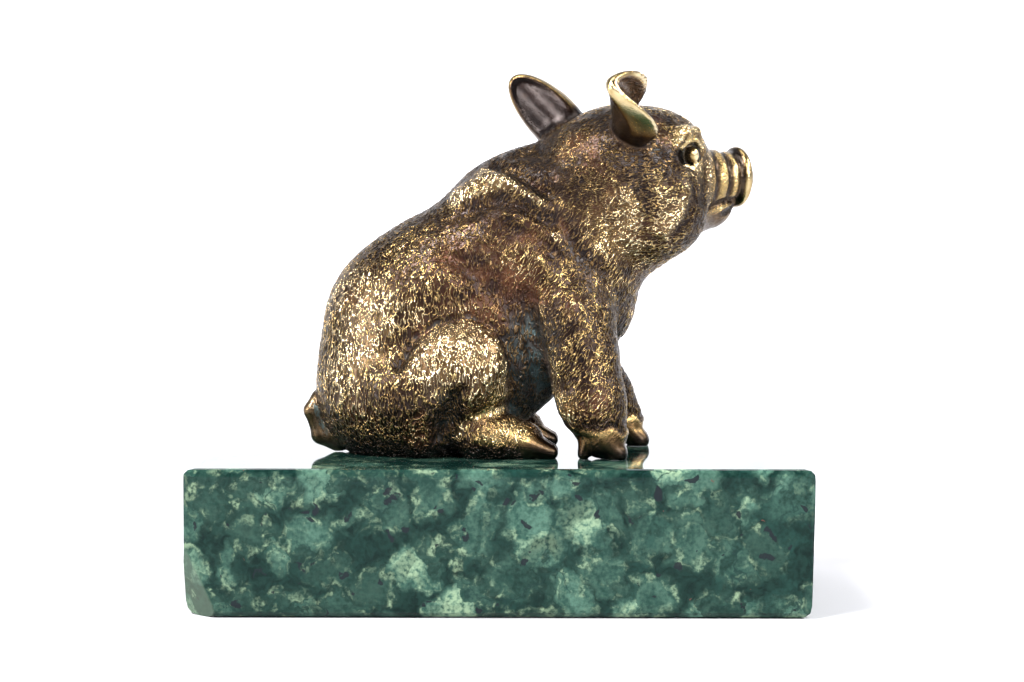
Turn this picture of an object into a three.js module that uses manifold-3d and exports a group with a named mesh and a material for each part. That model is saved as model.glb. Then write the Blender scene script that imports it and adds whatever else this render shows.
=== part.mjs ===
// A seated piglet, a small bronze cast in one piece, on a polished block of green serpentine.
// The piglet sits towards +X with its head turned to its own left (+Y). The origin is the
// centre of the block's underside, Z is up, and all sizes are in millimetres.

import * as THREE from 'three';
import { mergeVertices } from 'three/addons/utils/BufferGeometryUtils.js';
import { SimplifyModifier } from 'three/addons/modifiers/SimplifyModifier.js';
import Module from 'manifold-3d';

const wasm = await Module();
wasm.setup();

// The stone block: overall sizes, and how far each run of edges is ground back.
const BLOCK_LENGTH = 100;
const BLOCK_DEPTH = 60;
const BLOCK_HEIGHT = 23.7;
const BLOCK_TAPER = 0.7;
const TOP_EASE_ENDS = 1.9;
const TOP_EASE_LONG = 1.2;
const BOTTOM_EASE = 2.2;
const UPRIGHT_EASE = 1.6;
const BACK_CORNER_EASE = 4;
const CORNER_FACET_HEIGHT = 12;
const CORNER_FACET_WIDTH = 5.5;
const CORNER_FACET_DEPTH = 6;

// The bronze: its height above the block, from which the whole figure is proportioned, and how
// far forward of the block's middle it sits.
const PIGLET_HEIGHT = 63.5;
const PIGLET_FORWARD = 0;

// The figure is modelled in hundredths of its own height, with its base at z = 0. The net that
// skins it covers this box, in cells of this step, and is then thinned to this many vertices.
const HUNDREDTHS = 100;
const NET_LOW = [-58, -42, -6];
const NET_HIGH = [72, 42, 106];
const NET_STEP = 1;
const NET_BLOCK = 4;
const NET_VERTICES = 4250;
const MIDPOINT_INSET = 0.05;
const TRIM_BELOW = 2.5;

// The head is turned to its own left, and rolled so that its left ear is the higher.
const HEAD_TURN = THREE.MathUtils.degToRad(27);
const HEAD_ROLL = THREE.MathUtils.degToRad(3);

// Smooth joins of distance fields: a field gives the distance from a point to a surface,
// negative inside.
function softMin(a, b, reach) {
  const h = Math.max(reach - Math.abs(a - b), 0) / reach;
  return Math.min(a, b) - h * h * reach * 0.25;
}

const softMax = (a, b, reach) => -softMin(-a, -b, reach);

// A rounded mass with three radii, which may be turned by Euler angles in degrees.
function mass(at, radii, turn = [0, 0, 0]) {
  const [tx, ty, tz] = turn.map(THREE.MathUtils.degToRad);
  const m = new THREE.Matrix4().makeRotationFromEuler(new THREE.Euler(tx, ty, tz));
  const e = m.elements;
  const [rx, ry, rz] = radii;
  return (x, y, z) => {
    const dx = x - at[0];
    const dy = y - at[1];
    const dz = z - at[2];
    const u = (dx * e[0] + dy * e[1] + dz * e[2]) / rx;
    const v = (dx * e[4] + dy * e[5] + dz * e[6]) / ry;
    const w = (dx * e[8] + dy * e[9] + dz * e[10]) / rz;
    const k = Math.hypot(u, v, w);
    const g = Math.hypot(u / rx, v / ry, w / rz);
    return g > 0 ? (k * (k - 1)) / g : -Math.min(rx, ry, rz);
  };
}

// A limb: a cone with round ends, from one point and radius to another.
function limb(from, to, fromRadius, toRadius) {
  const bx = to[0] - from[0];
  const by = to[1] - from[1];
  const bz = to[2] - from[2];
  const length2 = bx * bx + by * by + bz * bz;
  return (x, y, z) => {
    const px = x - from[0];
    const py = y - from[1];
    const pz = z - from[2];
    const t = Math.min(Math.max((px * bx + py * by + pz * bz) / length2, 0), 1);
    const r = fromRadius + (toRadius - fromRadius) * t;
    return Math.hypot(px - bx * t, py - by * t, pz - bz * t) - r;
  };
}

// A flat round of half-thickness, half-width and half-height, with a rounded edge.
function puck(at, [rx, ry, rz]) {
  const corner = rx;
  return (x, y, z) => {
    const v = (y - at[1]) / (ry - corner);
    const w = (z - at[2]) / (rz - corner);
    const k = Math.hypot(v, w);
    const g = Math.hypot(v / (ry - corner), w / (rz - corner));
    const radial = g > 0 ? (k * (k - 1)) / g : -ry;
    return Math.hypot(Math.max(radial, 0), x - at[0]) - corner;
  };
}

// Several fields joined with one softness.
function join(reach, ...fields) {
  return (x, y, z) => fields.reduce((d, f) => softMin(d, f(x, y, z), reach), 1e3);
}

// One field with another carved out of it.
const carve = (reach, body, tool) => (x, y, z) => softMax(body(x, y, z), -tool(x, y, z), reach);

// A field mirrored to both flanks.
const bothSides = (field) => (x, y, z) => field(x, -Math.abs(y), z);

// Rump, belly, ribs, shoulders, chest and neck. Positions and radii are hundredths of the height.
const torso = join(
  8,
  mass([-21.5, 0, 16], [27, 24, 22]),
  mass([-19, 0, 32], [27.8, 22, 27]),
  mass([-8, 0, 42], [23.5, 21, 23.8]),
  mass([-1, 0, 28.5], [20.5, 20, 19.6]),
  mass([6, 0, 54], [17, 19, 24], [0, -38, 0]),
  mass([15, 0, 42], [13, 17, 17]),
  limb([12, 0, 64], [27, 1, 69], 17, 18),
  mass([22, 0, 51], [15, 15, 16]),
  mass([34.6, 1.5, 57.4], [8, 8.5, 9]),
  mass([25.2, 2, 36.4], [8, 7.5, 8.4]),
);

// Limbs of the right flank, at negative Y. Both flanks fold their hind legs the same way.
const thigh = join(
  4,
  limb([-24, -13, 16], [-11, -17, 21], 14, 12),
  mass([-10.5, -18, 23.5], [11.5, 9.5, 10.5]),
);
const hindFoot = join(
  3,
  limb([-5, -18, 18], [-20, -17, 6], 7, 6),
  limb([-4, -17, 6], [5.5, -18, 4.2], 8, 5.6),
  limb([7, -15.8, 3.6], [12.6, -15.8, 1.8], 3.8, 2.2),
  limb([7, -20.2, 3.6], [12.6, -20.2, 1.8], 3.8, 2.2),
);
const nearForeleg = join(
  4,
  limb([12, -8, 48], [17.5, -12, 35], 13, 11.5),
  limb([17.5, -13, 36], [20.8, -16, 26], 10.6, 8.7),
  limb([20.8, -16, 26], [23.2, -17.8, 15], 8.7, 8.1),
  limb([23.2, -17.8, 15], [26, -18.6, 6.5], 8.1, 6.6),
);
const farForeleg = join(
  4,
  limb([12, 8, 48], [18, 12, 34], 13, 11),
  limb([18, 12, 34], [22.2, 16, 24], 9.5, 7.2),
  limb([22.2, 16, 24], [27, 18, 14], 7.2, 6.7),
  limb([27, 18, 14], [31.6, 19, 7], 6.7, 6),
);

// A cloven hoof: two toes side by side and two dewclaws behind, at the foot of a foreleg.
const hoof = (x, y) => join(
  0.8,
  limb([x, y - 2.7, 4.6], [x + 3.2, y - 2.5, 1.6], 3.6, 3),
  limb([x, y + 2.7, 4.6], [x + 3.2, y + 2.5, 1.6], 3.6, 3),
  limb([x - 4.4, y - 2.4, 4.4], [x - 5.2, y - 2.6, 1.4], 2.2, 1.7),
  limb([x - 4.4, y + 2.4, 4.4], [x - 5.2, y + 2.6, 1.4], 2.2, 1.7),
);

// Head, in its own axes: forwards, leftwards and upwards from the middle of the skull.
const HEAD_AT = [33, 1, 72.3];
const skull = join(
  5,
  mass([-1, 0, 1], [20, 17, 17.5]),
  mass([9.2, 0, 5.5], [12, 11.5, 11]),
  bothSides(mass([4, -6.5, -8.5], [15, 12, 13])),
  limb([14, 0, -1.5], [31, 0, -0.5], 9.2, 6.2),
  limb([8, 0, -10], [24.5, 0, -10], 8, 3.6),
);
const muzzleFolds = join(
  0.6,
  puck([25, 0, -0.6], [1.5, 7.6, 7.6]),
  puck([28.9, 0, -0.5], [1.1, 7, 7]),
);
const snoutDisc = puck([32.4, 0, -0.5], [1.6, 7.6, 8.1]);
const mouth = bothSides(limb([30, -3, -8.4], [19, -9.5, -13], 0.7, 0.7));
const nostril = bothSides(mass([34.4, -2.8, -0.2], [2.4, 1.4, 2.2]));
const browRidge = bothSides(join(
  1,
  limb([7, -13.4, 7.4], [10.5, -12, 11.2], 1.5, 1.9),
  limb([10.5, -12, 11.2], [15.5, -9.6, 11], 1.9, 1.7),
  limb([15.5, -9.6, 11], [18, -8, 6.6], 1.7, 1.1),
));
const eyeSocket = bothSides(mass([12.6, -12.6, 6.2], [4, 2.6, 3.6], [0, 0, 35]));
const eyeBall = bothSides(mass([12.6, -10.7, 6.4], [2.5, 2.3, 2.4]));

// An ear: a curled leaf from its root to its tip. Across the leaf it bends like a trough, open
// towards its facing. The two ears are cocked differently.
const EAR_THICKNESS = 1.2;
const EAR_WIDEST = 0.4;
const NEAR_EAR = {
  root: [-9, -10, 12],
  tip: [-20.5, -28, 25],
  facing: [0.84, -0.48, 0.24],
  halfWidth: 7.6,
  trough: 0.15,
};
const FAR_EAR = {
  root: [-10.5, 10.5, 8],
  tip: [-21, 28, 24.5],
  facing: [0.4, 0.85, 0.1],
  halfWidth: 7,
  trough: 0.08,
};
function ear(leaf) {
  const root = new THREE.Vector3(...leaf.root);
  const along = new THREE.Vector3(...leaf.tip).sub(root);
  const length = along.length();
  along.normalize();
  const facing = new THREE.Vector3(...leaf.facing);
  facing.addScaledVector(along, -facing.dot(along)).normalize();
  const across = new THREE.Vector3().crossVectors(along, facing);
  const reach = length * (1 - EAR_WIDEST);
  return (x, y, z) => {
    const dx = x - root.x;
    const dy = y - root.y;
    const dz = z - root.z;
    const s = dx * along.x + dy * along.y + dz * along.z;
    const t = dx * across.x + dy * across.y + dz * across.z;
    const n = dx * facing.x + dy * facing.y + dz * facing.z;
    const off = (n - leaf.trough * t * t) / Math.hypot(1, 2 * leaf.trough * t);
    const sheet = Math.abs(off) - EAR_THICKNESS;
    const u = (s - length * EAR_WIDEST) / reach;
    const v = t / leaf.halfWidth;
    const k = Math.hypot(u, v);
    const g = Math.hypot(u / reach, v / leaf.halfWidth);
    const outline = g > 0 ? (k * (k - 1)) / g : -leaf.halfWidth;
    return softMax(sheet, outline, 1.4);
  };
}

const face = join(1, join(1.2, skull, browRidge), muzzleFolds, snoutDisc);
const pitted = carve(0.6, carve(0.8, carve(1, face, eyeSocket), nostril), mouth);
const headField = join(0.8, join(2, pitted, ear(NEAR_EAR), ear(FAR_EAR)), eyeBall);
const turnCos = Math.cos(HEAD_TURN);
const turnSin = Math.sin(HEAD_TURN);
const rollCos = Math.cos(HEAD_ROLL);
const rollSin = Math.sin(HEAD_ROLL);
const head = (x, y, z) => {
  const dx = x - HEAD_AT[0];
  const dy = y - HEAD_AT[1];
  const dz = z - HEAD_AT[2];
  const l = dy * turnCos - dx * turnSin;
  const f = dx * turnCos + dy * turnSin;
  return headField(f, l * rollCos + dz * rollSin, dz * rollCos - l * rollSin);
};

// Tail: a short curl pressed against the rump.
const tail = join(
  1,
  limb([-43, 0, 3], [-47.5, -1, 4.5], 3.2, 2.6),
  limb([-47.5, -1, 4.5], [-50, -2, 11], 2.4, 2),
  limb([-50, -2, 11], [-48.5, -1, 14.6], 2, 1.7),
);

const thighs = bothSides(thigh);
const hindFeet = bothSides(hindFoot);
const forelegs = (x, y, z) => Math.min(nearForeleg(x, y, z), farForeleg(x, y, z));
const hooves = join(0.5, hoof(26.4, -18.8), hoof(33, 19.2));
const piglet = (x, y, z) => {
  const trunk = softMin(torso(x, y, z), head(x, y, z), 6);
  const legged = softMin(softMin(trunk, thighs(x, y, z), 2.2), forelegs(x, y, z), 3);
  const footed = softMin(legged, hindFeet(x, y, z), 1.4);
  return softMin(footed, Math.min(hooves(x, y, z), tail(x, y, z)), 1.2);
};

// Fills grid points until no cell has two inside corners that only touch corner to corner or
// across a face, so that the net over the values never pinches two sheets into one.
const FILLED = -1e-3;
function unpinch(value, [nx, ny, nz], stride) {
  const fill = (...points) => {
    const outside = points.filter((p) => value[p] >= 0);
    value[outside.reduce((a, b) => (value[b] < value[a] ? b : a))] = FILLED;
  };
  let pinched = true;
  while (pinched) {
    pinched = false;
    for (let i = 1; i < nx - 1; i++)
      for (let j = 1; j < ny - 1; j++)
        for (let k = 1; k < nz - 1; k++) {
          const a = i * stride[0] + j * stride[1] + k;
          const inside = value[a] < 0;
          for (let d = 0; d < 3; d++) {
            const b = a + stride[(d + 1) % 3];
            const c = a + stride[(d + 2) % 3];
            const e = b + c - a;
            if (inside !== value[e] < 0) continue;
            if (inside === value[b] < 0 || inside === value[c] < 0) continue;
            fill(a, b, c, e);
            pinched = true;
          }
        }
  }
}

// Skins a field with a net: one vertex in each cell that the surface passes through, at the
// mean of where it crosses the cell's edges, and one quad for each edge that it crosses.
function netOver(field, low, high, step) {
  const count = low.map((l, a) => Math.ceil((high[a] - l) / step) + 1);
  const [nx, ny, nz] = count;
  const value = new Float64Array(nx * ny * nz);
  const index = (i, j, k) => (i * ny + j) * nz + k;
  const at = (i, a) => low[a] + i * step;
  const half = (NET_BLOCK - 1) / 2;
  for (let bi = 0; bi < nx; bi += NET_BLOCK)
    for (let bj = 0; bj < ny; bj += NET_BLOCK)
      for (let bk = 0; bk < nz; bk += NET_BLOCK) {
        const middle = field(at(bi + half, 0), at(bj + half, 1), at(bk + half, 2));
        const far = Math.abs(middle) > NET_BLOCK * step * 2;
        for (let i = bi; i < Math.min(bi + NET_BLOCK, nx); i++)
          for (let j = bj; j < Math.min(bj + NET_BLOCK, ny); j++)
            for (let k = bk; k < Math.min(bk + NET_BLOCK, nz); k++)
              value[index(i, j, k)] = far ? middle : field(at(i, 0), at(j, 1), at(k, 2));
      }
  const stride = [ny * nz, nz, 1];
  unpinch(value, count, stride);
  const vertexOf = new Map();
  const positions = [];
  const corners = [0, 1, 2, 3, 4, 5, 6, 7].map((c) => [c & 1, (c >> 1) & 1, c >> 2]);
  const edges = [
    [0, 1], [2, 3], [4, 5], [6, 7],
    [0, 2], [1, 3], [4, 6], [5, 7],
    [0, 4], [1, 5], [2, 6], [3, 7],
  ];
  for (let i = 0; i < nx - 1; i++)
    for (let j = 0; j < ny - 1; j++)
      for (let k = 0; k < nz - 1; k++) {
        const near = corners.map(([a, b, c]) => value[index(i + a, j + b, k + c)]);
        const sum = [0, 0, 0];
        let crossings = 0;
        for (const [a, b] of edges) {
          if (near[a] < 0 === near[b] < 0) continue;
          const t = near[a] / (near[a] - near[b]);
          for (let d = 0; d < 3; d++) sum[d] += corners[a][d] + (corners[b][d] - corners[a][d]) * t;
          crossings++;
        }
        if (!crossings) continue;
        vertexOf.set(index(i, j, k), positions.length / 3);
        positions.push(
          low[0] + (i + sum[0] / crossings) * step,
          low[1] + (j + sum[1] / crossings) * step,
          low[2] + (k + sum[2] / crossings) * step,
        );
      }
  const faces = [];
  for (let i = 1; i < nx - 1; i++)
    for (let j = 1; j < ny - 1; j++)
      for (let k = 1; k < nz - 1; k++) {
        const here = index(i, j, k);
        for (let d = 0; d < 3; d++) {
          const inside = value[here] < 0;
          if (inside === value[here + stride[d]] < 0) continue;
          const u = stride[(d + 1) % 3];
          const v = stride[(d + 2) % 3];
          const quad = [here - u - v, here - v, here, here - u].map((c) => vertexOf.get(c));
          if (!inside) quad.reverse();
          faces.push(quad[0], quad[1], quad[2], quad[0], quad[2], quad[3]);
        }
      }
  const geometry = new THREE.BufferGeometry();
  geometry.setAttribute('position', new THREE.Float32BufferAttribute(positions, 3));
  geometry.setIndex(faces);
  return geometry;
}

// Draws each vertex onto the surface along the field's slope.
function settle(geometry, field, rounds) {
  const p = geometry.getAttribute('position');
  const h = 0.02;
  for (let v = 0; v < p.count; v++) {
    let x = p.getX(v);
    let y = p.getY(v);
    let z = p.getZ(v);
    for (let r = 0; r < rounds; r++) {
      const d = field(x, y, z);
      const gx = (field(x + h, y, z) - field(x - h, y, z)) / (2 * h);
      const gy = (field(x, y + h, z) - field(x, y - h, z)) / (2 * h);
      const gz = (field(x, y, z + h) - field(x, y, z - h)) / (2 * h);
      const g2 = Math.max(gx * gx + gy * gy + gz * gz, 0.25);
      x -= (d * gx) / g2;
      y -= (d * gy) / g2;
      z -= (d * gz) / g2;
    }
    p.setXYZ(v, x, y, z);
  }
}

// A closed geometry as a solid for cutting and joining, and back again.
function solidOf(geometry) {
  const bare = new THREE.BufferGeometry();
  bare.setAttribute('position', geometry.getAttribute('position'));
  bare.setIndex(geometry.getIndex());
  const merged = mergeVertices(bare, 1e-5);
  return new wasm.Manifold(new wasm.Mesh({
    numProp: 3,
    vertProperties: new Float32Array(merged.getAttribute('position').array),
    triVerts: new Uint32Array(merged.getIndex().array),
  }));
}

function geometryOf(solid) {
  const mesh = solid.getMesh();
  const geometry = new THREE.BufferGeometry();
  const corners = new Float32Array(mesh.vertProperties);
  geometry.setAttribute('position', new THREE.BufferAttribute(corners, 3));
  geometry.setIndex(new THREE.BufferAttribute(new Uint32Array(mesh.triVerts), 1));
  geometry.computeVertexNormals();
  return geometry;
}

// Thins a net to about the wanted number of vertices. Where thinning left two thin sheets
// touching along one edge, one sheet's side of that edge gets a midpoint of its own, set a
// little into the metal, so that no edge is shared by more than two triangles.
async function thinnedNet(net, wanted) {
  const total = net.getAttribute('position').count;
  const thinned = await new SimplifyModifier().modify(net, Math.max(total - wanted, 0));
  const corners = Array.from(thinned.getIndex().array);
  const positions = Array.from(thinned.getAttribute('position').array);
  const point = (v) => new THREE.Vector3().fromArray(positions, 3 * v);
  const facesOf = new Map();
  for (let c = 0; c < corners.length; c++) {
    const next = c % 3 === 2 ? c - 2 : c + 1;
    const key = `${corners[c]} ${corners[next]}`;
    if (!facesOf.has(key)) facesOf.set(key, []);
    facesOf.get(key).push(Math.floor(c / 3));
  }
  for (const [key, faces] of facesOf) {
    const [from, to] = key.split(' ').map(Number);
    if (faces.length < 2 || from > to) continue;
    const middle = point(from).add(point(to)).divideScalar(2);
    const side = (face) => {
      const [a, b, c] = corners.slice(3 * face, 3 * face + 3).map(point);
      const inPlane = a.clone().add(b).add(c).divideScalar(3).sub(middle).normalize();
      return { inPlane, normal: b.sub(a).cross(c.sub(a)).normalize() };
    };
    const here = side(faces[0]);
    const options = facesOf.get(`${to} ${from}`).map((face) => {
      const there = side(face);
      const inward = here.inPlane.clone().add(there.inPlane).normalize();
      return { face, inward, fit: inward.dot(here.normal) + inward.dot(there.normal) };
    });
    const best = options.reduce((p, q) => (q.fit < p.fit ? q : p));
    const added = positions.length / 3;
    positions.push(...middle.addScaledVector(best.inward, MIDPOINT_INSET).toArray());
    for (const face of [faces[0], best.face]) {
      const old = corners.slice(3 * face, 3 * face + 3);
      const start = [0, 1, 2].find((n) => ![from, to].includes(old[(n + 2) % 3]));
      const [p, q, apex] = [old[start], old[(start + 1) % 3], old[(start + 2) % 3]];
      corners.splice(3 * face, 3, p, added, apex);
      corners.push(added, q, apex);
    }
  }
  const geometry = new THREE.BufferGeometry();
  geometry.setAttribute('position', new THREE.Float32BufferAttribute(positions, 3));
  geometry.setIndex(corners);
  return geometry;
}

// The bronze figure, flat where it sits on the stone.
async function pigletGeometry() {
  const trimmed = (x, y, z) => Math.max(piglet(x, y, z), -TRIM_BELOW - z);
  const net = netOver(trimmed, NET_LOW, NET_HIGH, NET_STEP);
  settle(net, trimmed, 2);
  const thinned = await thinnedNet(net, NET_VERTICES);
  const below = new THREE.BoxGeometry(2 * HUNDREDTHS, 2 * HUNDREDTHS, HUNDREDTHS);
  below.translate(0, 0, -HUNDREDTHS / 2);
  const geometry = geometryOf(solidOf(thinned).subtract(solidOf(below)));
  const scale = PIGLET_HEIGHT / HUNDREDTHS;
  geometry.scale(scale, scale, scale);
  return geometry;
}

// The outline through some corners, each ground back by its own ease to a shallow curve.
function easedShape(cornersAndEases) {
  const shape = new THREE.Shape();
  const count = cornersAndEases.length;
  cornersAndEases.forEach(([x, y, ease], i) => {
    const corner = new THREE.Vector2(x, y);
    const before = new THREE.Vector2(...cornersAndEases[(i + count - 1) % count]);
    const after = new THREE.Vector2(...cornersAndEases[(i + 1) % count]);
    const start = before.sub(corner).setLength(ease).add(corner);
    const end = after.sub(corner).setLength(ease).add(corner);
    if (i) shape.lineTo(start.x, start.y);
    else shape.moveTo(start.x, start.y);
    shape.quadraticCurveTo(corner.x, corner.y, end.x, end.y);
  });
  shape.closePath();
  return shape;
}

// A slab of a shape, extruded both ways from its own plane.
function slab(shape, reach) {
  const options = { depth: 2 * reach, bevelEnabled: false, curveSegments: 3 };
  const geometry = new THREE.ExtrudeGeometry(shape, options);
  geometry.translate(0, 0, -reach);
  return geometry;
}

// The block: what its front, end and top outlines have in common, less one broken corner.
function blockGeometry() {
  const length = BLOCK_LENGTH / 2;
  const depth = BLOCK_DEPTH / 2;
  const foot = length - BLOCK_TAPER;
  const front = slab(easedShape([
    [-length, 0, BOTTOM_EASE],
    [foot, 0, BOTTOM_EASE],
    [length, BLOCK_HEIGHT, TOP_EASE_ENDS],
    [-length, BLOCK_HEIGHT, TOP_EASE_ENDS],
  ]), BLOCK_DEPTH);
  front.rotateX(Math.PI / 2);
  const end = slab(easedShape([
    [-depth, 0, BOTTOM_EASE],
    [depth, 0, BOTTOM_EASE],
    [depth, BLOCK_HEIGHT, TOP_EASE_LONG],
    [-depth, BLOCK_HEIGHT, TOP_EASE_LONG],
  ]), BLOCK_LENGTH);
  end.rotateX(Math.PI / 2);
  end.rotateZ(Math.PI / 2);
  const top = slab(easedShape([
    [-length, -depth, UPRIGHT_EASE],
    [length, -depth, UPRIGHT_EASE],
    [length, depth, BACK_CORNER_EASE],
    [-length, depth, UPRIGHT_EASE],
  ]), BLOCK_LENGTH);
  const facet = new THREE.Vector3(
    1 / CORNER_FACET_WIDTH,
    1 / CORNER_FACET_DEPTH,
    1 / CORNER_FACET_HEIGHT,
  );
  const reach = 1 / facet.length();
  facet.normalize().negate();
  const waste = new THREE.BoxGeometry(BLOCK_DEPTH, BLOCK_DEPTH, BLOCK_DEPTH);
  waste.applyQuaternion(new THREE.Quaternion().setFromUnitVectors(new THREE.Vector3(0, 0, 1), facet));
  waste.translate(-length, -depth, 0);
  const shift = facet.clone().multiplyScalar(BLOCK_DEPTH / 2 - reach);
  waste.translate(shift.x, shift.y, shift.z);
  const block = solidOf(front).intersect(solidOf(end)).intersect(solidOf(top));
  return geometryOf(block.subtract(solidOf(waste)));
}

const bronze = new THREE.MeshStandardMaterial({ color: 0x8a6a34, roughness: 0.35, metalness: 1 });
const figure = new THREE.Mesh(await pigletGeometry(), bronze);
figure.name = 'piglet';
figure.position.set(PIGLET_FORWARD, 0, BLOCK_HEIGHT);

const serpentine = new THREE.MeshStandardMaterial({ color: 0x1f4a36, roughness: 0.15, metalness: 0 });
const block = new THREE.Mesh(blockGeometry(), serpentine);
block.name = 'plinth';

const group = new THREE.Group();
group.add(figure, block);
export default group;
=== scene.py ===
import math

import bpy
import numpy as np
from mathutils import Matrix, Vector


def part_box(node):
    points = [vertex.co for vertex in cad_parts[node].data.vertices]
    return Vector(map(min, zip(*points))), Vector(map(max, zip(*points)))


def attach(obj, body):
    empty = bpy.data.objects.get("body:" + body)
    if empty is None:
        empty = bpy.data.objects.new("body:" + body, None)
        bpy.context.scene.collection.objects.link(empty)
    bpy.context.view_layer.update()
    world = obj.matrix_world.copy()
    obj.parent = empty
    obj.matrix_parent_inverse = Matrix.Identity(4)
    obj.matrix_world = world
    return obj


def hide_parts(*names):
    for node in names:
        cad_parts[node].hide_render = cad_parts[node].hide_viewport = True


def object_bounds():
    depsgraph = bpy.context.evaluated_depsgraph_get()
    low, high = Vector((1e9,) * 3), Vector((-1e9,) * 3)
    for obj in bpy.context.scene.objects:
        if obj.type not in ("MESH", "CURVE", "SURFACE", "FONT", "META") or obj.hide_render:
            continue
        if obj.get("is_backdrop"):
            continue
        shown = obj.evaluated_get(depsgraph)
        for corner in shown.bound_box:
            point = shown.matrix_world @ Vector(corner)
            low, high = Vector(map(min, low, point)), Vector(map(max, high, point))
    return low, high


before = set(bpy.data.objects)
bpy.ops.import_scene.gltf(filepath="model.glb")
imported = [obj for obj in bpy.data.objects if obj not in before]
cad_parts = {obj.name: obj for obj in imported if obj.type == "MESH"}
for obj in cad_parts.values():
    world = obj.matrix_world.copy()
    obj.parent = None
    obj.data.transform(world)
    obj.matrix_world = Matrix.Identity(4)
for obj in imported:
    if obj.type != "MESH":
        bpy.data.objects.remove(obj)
bounds_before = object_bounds()
scene = bpy.context.scene

# Piglet
# One hollow bronze casting that sits on the stone on its flat seat. Its form is a distance field
# of rounded masses and limbs, in hundredths of the figure's height, skinned with a fine net and
# then tooled with creases and a coat.
FIGURE_HEIGHT = 0.0635
PART = FIGURE_HEIGHT / 100
BLOCK_TOP = max(c[2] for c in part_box("plinth"))
HEAD_AT = (33, 1, 72.3)
HEAD_TURN = math.radians(27)
HEAD_ROLL = math.radians(3)
SEAT_GAP = 0.03
TINY = 1e-9


def soft_min(a, b, reach):
    """The lesser of two fields, less a quarter of the reach times the square of how near they
    are to each other, which is nought at the reach and one where they meet."""
    h = np.maximum(reach - np.abs(a - b), 0) / reach
    return np.minimum(a, b) - h * h * reach / 4


def soft_max(a, b, reach):
    """The greater of two fields, rounded off in the same way."""
    return -soft_min(-a, -b, reach)


def mass(at, radii, turn=(0, 0, 0)):
    """An ellipsoid about a point, turned by Euler angles in degrees; its distance is the scaled
    radius times the scaled radius less one, over the length of its gradient."""
    ax, ay, az = (math.radians(a) for a in turn)
    cx, cy, cz, sx, sy, sz = *map(math.cos, (ax, ay, az)), *map(math.sin, (ax, ay, az))
    m = np.array([
        [cy * cz, -cy * sz, sy],
        [cx * sz + sx * cz * sy, cx * cz - sx * sz * sy, -sx * cy],
        [sx * sz - cx * cz * sy, sx * cz + cx * sz * sy, cx * cy],
    ])
    r = np.array(radii, float)

    def field(x, y, z):
        d = np.stack([x - at[0], y - at[1], z - at[2]], -1) @ m / r
        k = np.sqrt((d * d).sum(-1))
        g = np.sqrt(((d / r) ** 2).sum(-1))
        return np.where(g > TINY, k * (k - 1) / np.maximum(g, TINY), -r.min())
    return field


def limb(start, end, start_radius, end_radius):
    """A cone with round ends: the distance to the nearest point of a line, less a radius that
    changes evenly along it."""
    b = np.subtract(end, start)
    length2 = float(b @ b)

    def field(x, y, z):
        px, py, pz = x - start[0], y - start[1], z - start[2]
        t = np.clip((px * b[0] + py * b[1] + pz * b[2]) / length2, 0, 1)
        reach = np.sqrt((px - b[0] * t) ** 2 + (py - b[1] * t) ** 2 + (pz - b[2] * t) ** 2)
        return reach - (start_radius + (end_radius - start_radius) * t)
    return field


def puck(at, radii):
    """A flat round with a rounded edge: the distance to a flat ellipse, less half the round's
    thickness."""
    edge, ry, rz = radii[0], radii[1] - radii[0], radii[2] - radii[0]

    def field(x, y, z):
        v, w = (y - at[1]) / ry, (z - at[2]) / rz
        k = np.hypot(v, w)
        g = np.hypot(v / ry, w / rz)
        radial = np.where(g > TINY, k * (k - 1) / np.maximum(g, TINY), -ry)
        return np.hypot(np.maximum(radial, 0), x - at[0]) - edge
    return field


def join(reach, *fields):
    """Several fields run together one after another by their soft least."""
    def field(x, y, z):
        d = fields[0](x, y, z)
        for f in fields[1:]:
            d = soft_min(d, f(x, y, z), reach)
        return d
    return field


def carve(reach, body, tool):
    """One field cut out of another: the soft greatest of the body and minus the tool."""
    return lambda x, y, z: soft_max(body(x, y, z), -tool(x, y, z), reach)


def both_sides(field):
    """A field of the right side, mirrored to the left by taking minus the size of y."""
    return lambda x, y, z: field(x, -np.abs(y), z)


# The masses and limbs of the trunk and legs: each mass has its middle, its half-sizes and its
# turn, each limb its two ends and its two radii, and each join its softness.
torso = join(
    8,
    mass((-21.5, 0, 16), (27, 24, 22)),
    mass((-19, 0, 32), (27.8, 22, 27)),
    mass((-8, 0, 42), (23.5, 21, 23.8)),
    mass((-1, 0, 28.5), (20.5, 20, 19.6)),
    mass((6, 0, 54), (17, 19, 24), (0, -38, 0)),
    mass((15, 0, 42), (13, 17, 17)),
    limb((12, 0, 64), (27, 1, 69), 17, 18),
    mass((22, 0, 51), (15, 15, 16)),
    mass((34.6, 1.5, 57.4), (8, 8.5, 9)),
    mass((25.2, 2, 36.4), (8, 7.5, 8.4)),
)
thigh = both_sides(join(
    4,
    limb((-24, -13, 16), (-11, -17, 21), 14, 12),
    mass((-10.5, -18, 23.5), (11.5, 9.5, 10.5)),
))
hind_foot = both_sides(join(
    3,
    limb((-5, -18, 18), (-20, -17, 6), 7, 6),
    limb((-4, -17, 6), (5.5, -18, 4.2), 8, 5.6),
))
hind_toes = both_sides(join(
    0.6,
    limb((7, -15.8, 3.6), (12.6, -15.8, 1.8), 3.8, 2.2),
    limb((7, -20.2, 3.6), (12.6, -20.2, 1.8), 3.8, 2.2),
))
near_foreleg = join(
    4,
    limb((12, -8, 48), (17.5, -12, 35), 13, 11.5),
    limb((17.5, -13, 36), (20.8, -16, 26), 10.6, 8.7),
    limb((20.8, -16, 26), (23.2, -17.8, 15), 8.7, 8.1),
    limb((23.2, -17.8, 15), (26, -18.6, 6.5), 8.1, 6.6),
)
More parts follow.
